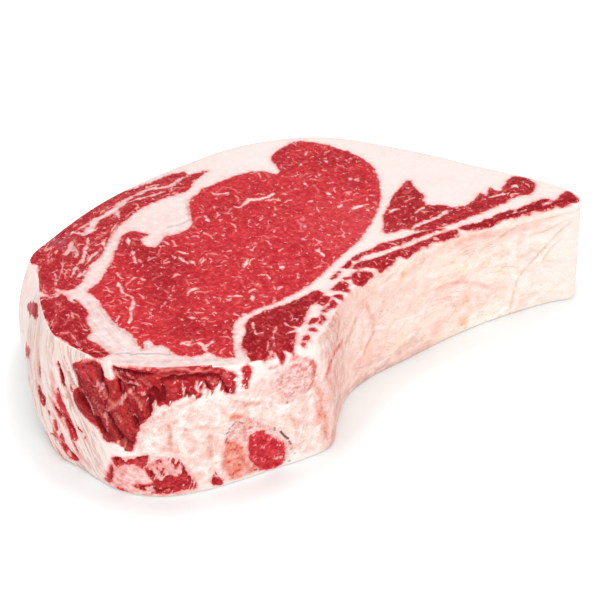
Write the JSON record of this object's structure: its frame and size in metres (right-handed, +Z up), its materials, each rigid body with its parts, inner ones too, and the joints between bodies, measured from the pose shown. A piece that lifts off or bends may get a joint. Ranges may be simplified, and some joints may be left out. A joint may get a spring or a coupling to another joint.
{
  "type": "raw rib steak",
  "caption": "Thick raw bone-in rib steak: a crescent slab of marbled lean and fat, flat cut faces, with a curved rib bone along its hollow side.",
  "frame": {"origin": "centre of the bounding box's base, on the plane of the lower cut face", "axes": "+X along the longest extent towards the thin tail end, +Y towards the fat cap at the back, +Z up out of the upper cut face"},
  "size_m": [0.2188, 0.163, 0.0605],
  "materials": {
    "raw_meat": "moist raw lean, red with cream-white fat cap, seams and marbling, softly glossy",
    "raw_bone": "sawn raw bone, cream-pink with a red spongy core, moist, low gloss"
  },
  "bodies": {
    "root": {"meat": "raw_meat", "rib_bone": "raw_bone"}
  },
  "joints": []
}
